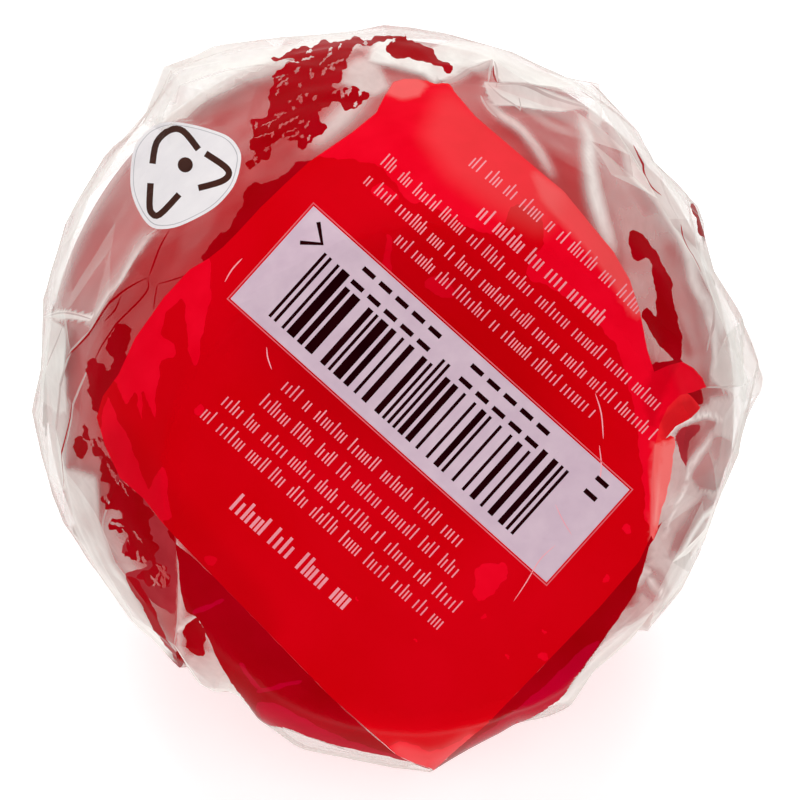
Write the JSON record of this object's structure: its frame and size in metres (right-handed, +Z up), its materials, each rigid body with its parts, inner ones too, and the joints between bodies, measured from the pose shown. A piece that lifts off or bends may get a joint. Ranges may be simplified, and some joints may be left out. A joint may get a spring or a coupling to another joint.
{
  "type": "toffee apple",
  "caption": "Toffee apple on a flat wooden stick, in a clear film wrap gathered and taped behind it, lying on its side with its flat foot to the front.",
  "frame": {"origin": "middle of the small flat spot on the wrap's underside, on the surface the toffee apple lies on", "axes": "+Z up, +Y to the back, the way the stick points (18.5 degrees downwards), -Y towards the flat foot, +X to the right as seen from the foot"},
  "size_m": [0.0712, 0.1351, 0.0694],
  "materials": {
    "wrapped_toffee": "glossy hard toffee under clear film",
    "toffee": "glossy hard toffee",
    "clear_film": "clear crinkled film",
    "film_ink": "printed ink on clear film",
    "clear_tape": "satin clear tape",
    "stick_wood": "bare planed birch"
  },
  "bodies": {
    "root": {"film_wrap": "wrapped_toffee", "film_skirt": "clear_film", "neck_tape": "clear_tape", "stick": "stick_wood"}
  },
  "joints": []
}
